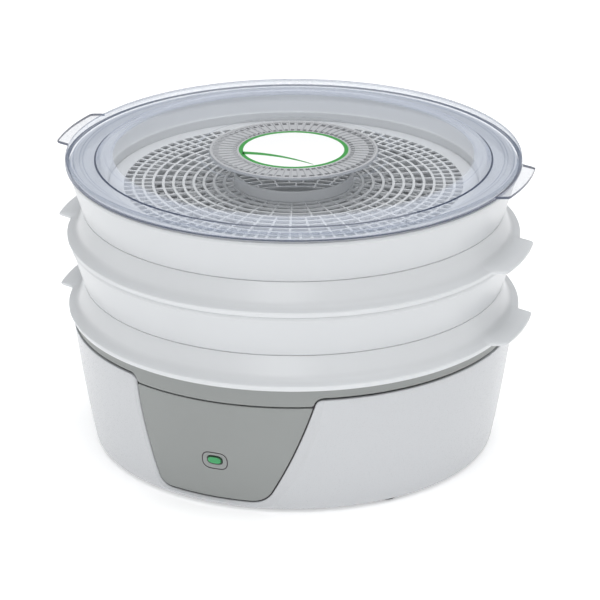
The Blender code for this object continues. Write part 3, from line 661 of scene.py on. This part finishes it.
def build_panel():
    path = offset(SHELL_PATH, 1.05)
    low = (path.imag <= PANEL_TOP) & (np.abs(path.real) < PANEL_REACH)
    side = path[low]
    corner = 1.0
    body = side[side.imag < PANEL_TOP - corner]
    top_left = complex(np.interp(PANEL_TOP, side.imag[:12][::-1], side.real[:12][::-1]), PANEL_TOP)
    top_right = complex(np.interp(PANEL_TOP, side.imag[-12:], side.real[-12:]), PANEL_TOP)
    right = bend(body[-1], top_right, top_right - 1.6, 4)
    left = bend(top_left + 1.6, top_left, body[0], 4)
    top = spaced([top_right - 1.6, top_left + 1.6], 1.5)[:-1]
    loop = np.concatenate([body[:-1], right, top, left])

    centre = unrolled(complex(LENS_X, LENS_Z))
    hole = np.array([centre + complex(*oblong(a, LENS_HOLE_HALF))
                     for a in np.linspace(0, 2 * pi, 64, endpoint=False)])
    border = soft([(-9.8, -7.3, 6.6), (9.8, -7.3, 6.6), (9.8, 6.1, 6.6), (-9.8, 6.1, 6.6)], 14)
    groove = spaced([centre + complex(*p) for p in border], 0.7, closed=True)

    def near_groove(points):
        return distance_to(points, groove, np.roll(groove, -1))[0]

    def relief(points):
        return -0.5 * np.clip(1.0 - (near_groove(points) - 0.15) / 0.25, 0.0, 1.0)

    ahead = np.roll(groove, -1) - np.roll(groove, 1)
    outward = -1j * ahead / np.abs(ahead)
    lines = [groove + outward * w for w in (-0.42, -0.15, 0.15, 0.42, -1.2, 1.2)]
    # Faces along the engraved groove take the near-black colour: painted shade in the groove.
    shape = skin(Shape(), [loop, hole[::-1]], on_base(lambda z: shell_radius(z) - PANEL_STEP),
                 3.0, 0.45, 2.4, relief, lines,
                 paint=lambda middles: (near_groove(middles) < 0.36).astype(int))
    shape.piece("front_panel", "base", ["grey", "groove"], "grey_plastic", "control_panel")


def build_panel_gap_shade():
    """A near-black sheet behind the panel's edges, painted shade for the gap round the panel, with
    a clearance hole for the lens.
    """
    path = offset(SHELL_PATH, -3.6)
    near = (np.abs(path.real) < PANEL_REACH) & (path.imag < PANEL_TOP + 3.0)
    side = path[near]
    top = spaced([side[-1], side[0]], 4.0)[1:-1]
    centre = unrolled(complex(LENS_X, LENS_Z))
    hole = np.array([centre + complex(11.0 * cos(a), 8.0 * sin(a))
                     for a in np.linspace(0, 2 * pi, 32, endpoint=False)])
    shape = skin(Shape(), [np.concatenate([side, top]), hole[::-1]],
                 on_base(lambda z: shell_radius(z) - 3.9), 6.0, 0.2, 1.1)
    shape.piece("panel_gap_shade", "base", ["groove"], "grey_plastic")


def lens_frame():
    z = LENS_Z
    radius = shell_radius(z) - PANEL_STEP
    lean = (shell_radius(z + 1.0) - shell_radius(z - 1.0)) / 2.0
    place = Vector((LENS_X, -sqrt(radius ** 2 - LENS_X ** 2), z)) * MM
    outward = Vector((LENS_X, place.y / MM, -lean * radius)).normalized()
    across = Vector((0.0, 0.0, 1.0)).cross(outward).normalized()
    up = outward.cross(across)
    axes = Matrix((across, up, outward)).transposed().to_4x4()
    return Matrix.Translation(place) @ axes


def build_lens():
    """Green lens: a rounded oblong dome with a flange behind the panel."""
    levels = ((1.35, -4.0, 1.25), (1.35, -2.9, 1.25), (1.0, -2.9, 1.0), (1.0, 0.0, 1.0),
              (0.98, 0.25, 0.97), (0.93, 0.45, 0.89), (0.84, 0.60, 0.78), (0.55, 0.72, 0.46),
              (0.22, 0.78, 0.18))
    steps = 48
    shape = Shape()
    points, faces = [], []
    for wide, height, tall in levels:
        for k in range(steps):
            half = (LENS_HALF[0] * wide, LENS_HALF[1] * tall)
            points.append((*oblong(2 * pi * k / steps, half), height))
    for level in range(len(levels) - 1):
        for k in range(steps):
            n = (k + 1) % steps
            faces.append((level * steps + k, level * steps + n, (level + 1) * steps + n,
                          (level + 1) * steps + k))
    faces.append(tuple(range(steps - 1, -1, -1)))
    faces.append(tuple((len(levels) - 1) * steps + k for k in range(steps)))
    # The lower bands of the dome and its flange take the dark lens-edge colour: painted shade.
    shape.add(points, faces, [int(k < 6 * steps or k == (len(levels) - 1) * steps)
                              for k in range(len(faces))])
    shape.piece("green_lens", "base", ["green", "lens_rim_painted_shade"], "green_lens", "indicator_lens",
                matrix=lens_frame(), sharp=50.0)


def build_feet():
    profile = soft([(8.0, 2.3, 0.3), (7.4, 0.0, 0.7), (5.6, 0.0, 0.3), (5.0, 0.5, 0.3),
                    (0.05, 0.5), (0.05, 7.6), (2.6, 7.6, 0.6), (4.0, 5.3, 0.4), (2.8, 5.1, 0.2),
                    (2.8, 2.3)])
    for number in range(1, 5):
        low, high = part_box(f"foot_{number}")
        shape = revolve(Shape(), profile, even(48))
        centre = Matrix.Translation(((low.x + high.x) / 2, (low.y + high.y) / 2, 0.0))
        shape.piece(f"rubber_foot_{number}", "base", ["rubber"], "black_rubber",
                    f"foot_{number}", matrix=centre)


def build_gland():
    """Cord bushing at the back, with ribs round its outer collar."""
    low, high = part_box("cord_gland")
    outer = high.y / MM
    profile = [(3.6, outer, 0.5), (6.4, outer, 0.8)]
    for rib in range(3):
        y = outer - 0.4 - rib * 0.9
        profile += [(9.0 + 0.2 * rib, y, 0.2), (9.0 + 0.2 * rib, y - 0.5, 0.2),
                    (8.0, y - 0.6), (8.0, y - 0.8)]
    profile += [(9.6, outer - 3.2), (7.0, outer - 3.2), (7.0, 147.6), (9.6, 147.6), (9.6, 139.0),
                (6.0, 136.0, 0.6), (3.6, 136.0, 0.4)]
    shape = revolve(Shape(), soft(profile, 3), even(64))
    turn = Matrix.Translation((0, 0, (low.z + high.z) / 2)) @ Matrix.Rotation(-pi / 2, 4, "X")
    shape.piece("cord_bushing", "base", ["black"], "black_plastic", "cord_gland", matrix=turn)


def build_grille():
    low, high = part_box("outlet_grille")
    top, bottom = high.z / MM, low.z / MM
    shape = Shape()
    radii = [2.0, 9.0, 11.5]
    while radii[-1] < 46.0:
        radii += [radii[-1] + 5.4, radii[-1] + 7.4]
    radii = radii[:-1] + [54.2]
    cells = [a for k in range(36) for a in (k * 10.0, k * 10.0 + 1.6, k * 10.0 + 5.8)]

    def is_open(i, j):
        return i % 2 == 0 and 1 < i < len(radii) - 2 and (j % 3 != 0 or (i < 5 and j % 6))

    lattice(shape, radii, cells, is_open, top, bottom)
    shape.piece("air_outlet_grille", "base", ["grey"], "grey_plastic", "outlet_grille")


# ------------------------------------------------------------------ trays
def tab_reach(angle, rim):
    """Edge radius at an angle: the rim, or a rounded lifting tab on the X axis."""
    off = abs((angle + 90.0) % 180.0 - 90.0)
    t = min(max((12.9 - off) / 2.9, 0.0), 1.0)
    return rim + (TAB_R - rim) * t * t * (3 - 2 * t)


def tab_angles():
    fine = [centre + side * (9.2 + 0.3 * k) for centre in (0.0, 180.0) for side in (-1, 1)
            for k in range(15)]
    return even(SEGMENTS, *fine)


def build_floor(name, floor):
    """Perforated floor on the ledge of the tray's basin, and the collar of its air hole."""
    low, high = floor + 0.3, floor + 1.8
    radii = [HUB_R + 1.0]
    while radii[-1] + 9.0 < LEDGE_R - 2.0:
        radii += [radii[-1] + 1.9, radii[-1] + 7.5]
    radii += [BASIN_R - 0.3]
    cells = [a for k in range(90) for a in (k * 4.0, k * 4.0 + 1.0)]
    last = len(radii) - 2

    def is_open(i, j):
        if i % 2 == 0 or i >= last:
            return False
        sector, between = divmod(j, 2)
        if radii[i] < 68.0:
            return bool(between) or sector % 3 != 0
        if radii[i] < 104.0:
            return bool(between) or sector % 2 != 0
        return bool(between)

    lattice(Shape(), radii, cells, is_open, high, low).piece(
        f"{name}_mesh", name, ["tray"], "tray_plastic", f"{name}_floor")
    top = floor + COLLAR_HEIGHT
    collar = soft([(HUB_R, high + 0.3, 0.3), (HUB_R, top, 0.9), (HUB_R + WALL, top, 0.9),
                   (HUB_R + WALL, high + 0.3, 0.3)])
    revolve(Shape(), collar, even(120)).piece(
        f"{name}_air_collar", name, ["tray"], "tray_plastic", f"{name}_collar")


def basin(floor):
    """Wall of the food area, from outside to inside, with the ledge under its floor."""
    return [(BASIN_R + WALL, floor + 7.2, 1.2), (BASIN_R + WALL, floor - 1.5, 0.8),
            (LEDGE_R, floor - 1.5, 0.4), (LEDGE_R, floor, 0.2), (BASIN_R, floor),
            (BASIN_R, floor + 9.0, 1.6)]


def build_handled_tray(name):
    rim = RIM_TOP[name]
    floor, neck = rim + RIM_TO_FLOOR, rim + RIM_TO_NECK

    def outline(angle):
        edge = tab_reach(angle, RIM_R)
        return soft([
            (NECK_R, neck, 0.5), (161.2, rim + 1.9, 4.6), (edge, rim, 0.75),
            (edge, rim - 1.8, 0.6), (167.0, rim - 1.8, 0.2), (167.0, rim - 4.3, 0.5),
            (165.2, rim - 4.3, 0.3),
            (165.2, rim - 1.8), (160.6, rim - 1.8, 1.0), (156.0, floor + 7.2, 3.0),
            *basin(floor), (155.0, floor + 9.4, 2.2), (NECK_R - WALL, neck, 0.4),
        ])

    # The lighter copy of the tray plastic is painted light for these shaded trays.
    revolve(Shape(), outline, tab_angles()).piece(
        f"{name}_body", name, ["handled"], "tray_plastic", name)
    build_floor(name, floor)


def build_plain_tray(name):
    neck = NECK[name]
    floor, top = neck + NECK_TO_FLOOR, neck + NECK_TO_TOP
    outline = soft([
        (164.8, top, 0.5), (164.8, neck + 32.5), (166.2, neck + 32.5, 0.6),
        (166.2, neck + 29.9, 0.7), (165.2, neck + 28.7, 0.5), (NECK_R, neck, 0.5),
        (154.1, neck, 0.1), (154.1, neck - 3.0, 0.5), (152.1, neck - 3.0, 0.5),
        (152.1, neck + 0.5, 1.0), (161.2, floor + 7.2, 2.4), *basin(floor),
        (161.6, floor + 9.2, 2.2), (162.6, neck + 29.0, 0.5), (162.6, top, 0.5),
    ])
    revolve(Shape(), outline, even(SEGMENTS)).piece(
        f"{name}_body", name, ["tray"], "tray_plastic", name)
    build_floor(name, floor)


# ------------------------------------------------------------------ lid
def build_lid():
    """Clear cover: a lip with tabs, a ridged flange, a step up to the window, a vent ring."""
    low = LID_EDGE
    finishes = ["clear", "clear_flange", "clear_edge_painted_shade", "clear_lip_painted_shade", "clear_tab", "clear_ridge_painted_shade"]
    window, flange, edge_on, lip, tab, ridge = range(len(finishes))

    def outline(angle):
        edge = tab_reach(angle, LID_R)
        return soft([
            (LID_R - 0.4, low + 5.9, 0.6), (LID_R, low + 4.3, 0.2), (edge, low + 4.2, 0.5),
            (edge, low + 2.2, 0.5), (LID_R, low + 2.0, 0.2), (LID_R, low + 1.1), (LID_R, low, 0.5),
            (166.8, low, 0.3), (165.4, low + 0.7, 0.3), (161.0, low + 0.7, 0.6),
            (147.6, low + 0.3, 0.6), (144.9, low + 0.3, 0.5), (142.2, low + 4.4, 0.7),
            (139.0, low + 3.9, 0.6), (135.4, low + 3.9, 0.6), (133.8, low + 4.7, 0.6),
            (72.0, low + 5.5, 0.8), (68.6, low + 3.8, 0.5), (59.4, low + 3.8, 0.5),
            (59.4, low + 5.4, 0.3), (62.6, low + 5.4, 0.3), (62.6, low + 8.2, 0.5),
            (67.6, low + 8.8, 0.8), (69.0, low + 9.2, 0.6), (70.4, low + 8.8, 0.8),
            (72.8, low + 7.2, 1.2), (133.4, low + 6.4, 0.6), (135.2, low + 5.6, 0.5),
            (138.6, low + 5.6, 0.5), (140.2, low + 6.5, 0.6), (142.8, low + 6.2, 0.9),
            (146.3, low + 2.2, 0.8), (154.9, low + 2.5, 0.5), (155.9, low + 3.3, 0.4),
            (157.3, low + 3.3, 0.4), (158.3, low + 2.7, 0.5), (162.0, low + 2.9, 0.4),
            (163.0, low + 3.8, 0.4), (164.4, low + 3.8, 0.4), (166.4, low + 5.9, 0.6),
        ], 3)

    def paint(a, b):
        """Edges, ridges and the lip are painted darker and more opaque: painted shade for the dark
        lines the clear plastic shows where it is seen edge on. The flange is bluer.
        """
        r = (np.hypot(a[0], a[1]) + np.hypot(b[0], b[1])) / 2
        steep = abs(b[2] - a[2]) > 0.45 * abs(np.hypot(a[0], a[1]) - np.hypot(b[0], b[1]))
        z = (a[2] + b[2]) / 2 - low
        if (r > LID_R + 1.0 and steep) or (r > 166.0 and z < 1.0) or (
                145.2 < r < 147.0 and 1.9 < z < 3.4):
            return edge_on
        if r > LID_R - 2.2 and z > 3.5:
            return lip if r < LID_R + 0.4 else tab
        if 148.0 < r < 166.4 and steep and z > 1.9:
            return ridge
        return flange if r > 133.0 else window

    shape = revolve(Shape(), outline, tab_angles(), paint)
    shape.piece("lid_cover", "lid", finishes, "clear_plastic", "lid")


def build_vent():
    """Slotted cap: a plate with two rings of slots and raised radial fins between them."""
    low, high = LID_EDGE + 5.7, LID_EDGE + 8.3
    shape = Shape()
    fins = 60
    radii = [30.0, 42.0, 45.2, 55.4, 59.4, 61.2]
    cells = [a for k in range(fins) for a in (k * 6.0, k * 6.0 + 1.4, k * 6.0 + 3.0,
                                              k * 6.0 + 4.6)]
    lattice(shape, radii, cells, lambda i, j: i in (1, 3) and j % 4 in (1, 2), high - 0.9, low)
    rim = soft([(60.6, low), (62.2, low + 0.3, 0.3), (62.2, high - 0.1, 0.5),
                (60.4, high, 0.5), (60.0, high - 1.0)])
    revolve(shape, rim, even(180))
    for k in range(fins):
        angle = radians(k * 6.0 + 5.3)
        along = (cos(angle), sin(angle))
        middle = 51.4
        box_bar(shape, (along[0] * middle, along[1] * middle), along, (8.8, 0.55), high - 1.1,
                high - 0.1)
    shape.piece("vent_plate", "lid", ["frosted"], "frosted_plastic", "vent_cap")


def build_label():
    low, high = LID_EDGE + 5.9, LID_EDGE + 7.6
    disc = revolve(Shape(), soft([(0.05, low), (40.6, low, 0.1), (40.6, high - 0.1, 0.15),
                                  (0.05, high - 0.1)]), even(120))
    disc.piece("label_disc", "lid", ["label"], "white_plastic", "lid_label")
    ring = revolve(Shape(), soft([(37.3, high - 0.2), (37.3, high - 0.03, 0.03),
                                  (40.5, high - 0.03, 0.03), (40.5, high - 0.2)]), even(120))
    ring.piece("label_ring", "lid", ["green_print"], "green_lens")
    steps = 40
    points, faces = [], []
    for k in range(steps + 1):
        t = k / steps
        x = -37.6 + 52.0 * t
        y = -7.4 - 3.0 * t - 22.0 * t * t
        half = 2.7 * (1.0 - t) ** 0.8 + 0.25
        tilt = atan2(-3.0 - 44.0 * t, 52.0)
        side = (-sin(tilt) * half, cos(tilt) * half)
        for z in (high - 0.2, high - 0.03):
            points.append((x + side[0], y + side[1], z))
            points.append((x - side[0], y - side[1], z))
    for k in range(steps):
        a, b = 4 * k, 4 * (k + 1)
        for p, q in ((0, 1), (1, 3), (3, 2), (2, 0)):
            faces.append((a + p, a + q, b + q, b + p))
    faces.append((0, 1, 3, 2))
    faces.append((4 * steps + 2, 4 * steps + 3, 4 * steps + 1, 4 * steps))
    turn = Matrix.Rotation(radians(20.0), 4, "Z")
    Shape().add(points, faces).piece("label_curve", "lid", ["green_print"], "green_lens",
                                     matrix=turn)


# ------------------------------------------------------------------ stage
def build_stage():
    """Pale floor that glows away from the base, painted light that whitens it except near the
    machine; soft lights and the camera.
    """
    bpy.ops.mesh.primitive_plane_add(size=24.0)
    floor = bpy.context.object
    floor.name = "floor"
    material, tree, shader = nodes_of("floor_with_painted_glow")
    tree.links.new(ramp(tree, noise(tree, 3.0), (0.94, 0.94, 0.94), (0.96, 0.96, 0.96)),
                   shader.inputs["Base Color"])
    shader.inputs["Roughness"].default_value = 0.9
    shader.inputs["Specular IOR Level"].default_value = 0.1
    shader.inputs["Emission Color"].default_value = (1.0, 1.0, 1.0, 1.0)
    where = tree.nodes.new("ShaderNodeTexCoord")
    from_middle = tree.nodes.new("ShaderNodeVectorMath")
    from_middle.operation = "LENGTH"
    tree.links.new(where.outputs["Object"], from_middle.inputs[0])
    # The glow rises from 126 mm to 150 mm out and stays full beyond: painted light that lifts the
    # floor to white, leaving shade only near the base.
    tree.links.new(spread(tree, from_middle.outputs["Value"], 0.0, 0.34, 0.126, 0.150),
                   shader.inputs["Emission Strength"])
    floor.data.materials.append(material)

    world = bpy.data.worlds.new("studio")
    bpy.context.scene.world = world
    world.use_nodes = True
    world.node_tree.nodes["Background"].inputs["Color"].default_value = (0.97, 0.985, 1.0, 1.0)
    world.node_tree.nodes["Background"].inputs["Strength"].default_value = 0.40

    def area(name, place, size, watts, colour=(1.0, 1.0, 1.0), aim=(0.0, 0.0, 0.12)):
        light = bpy.data.lights.new(name, "AREA")
        light.shape = "RECTANGLE"
        light.size, light.size_y = size
        light.energy = watts
        light.color = colour
        thing = bpy.data.objects.new(name, light)
        bpy.context.scene.collection.objects.link(thing)
        thing.location = place
        away = Vector(place) - Vector(aim)
        thing.rotation_euler = away.to_track_quat("Z", "Y").to_euler()

    area("front_panel_light", (0.65, -2.80, 1.25), (1.5, 1.1), 14.0)
    area("overhead", (0.1, 0.1, 2.2), (2.4, 2.4), 40.0)
    area("right_panel", (2.1, 0.3, 0.6), (1.0, 1.2), 0.4)
    area("left_panel", (-1.9, -0.4, 0.6), (0.9, 1.2), 1.2)

    look = Vector((0.0, 0.0, LOOK_HEIGHT))
    azimuth, elevation = radians(AZIMUTH), radians(ELEVATION)
    right = Vector((cos(azimuth), sin(azimuth), 0.0))
    away = Vector((sin(azimuth) * cos(elevation), -cos(azimuth) * cos(elevation), sin(elevation)))
    up = away.cross(right)
    camera = bpy.data.cameras.new("camera")
    camera.sensor_width = 36.0
    camera.lens = LENS
    camera.clip_end = 60.0
    view = bpy.data.objects.new("camera", camera)
    bpy.context.scene.collection.objects.link(view)
    place = look + away * DISTANCE
    aim = look + right * AIM_RIGHT - up * AIM_DOWN
    view.location = place
    view.rotation_euler = (place - aim).to_track_quat("Z", "Y").to_euler()
    bpy.context.scene.camera = view
    bpy.context.scene.view_settings.view_transform = "Standard"


build_stage()
build_shell()
build_deck()
build_panel()
build_panel_gap_shade()
build_lens()
build_feet()
build_gland()
build_grille()
for tray in ("tray_1", "tray_3"):
    build_handled_tray(tray)
for tray in ("tray_2", "tray_4"):
    build_plain_tray(tray)
build_lid()
build_vent()
build_label()
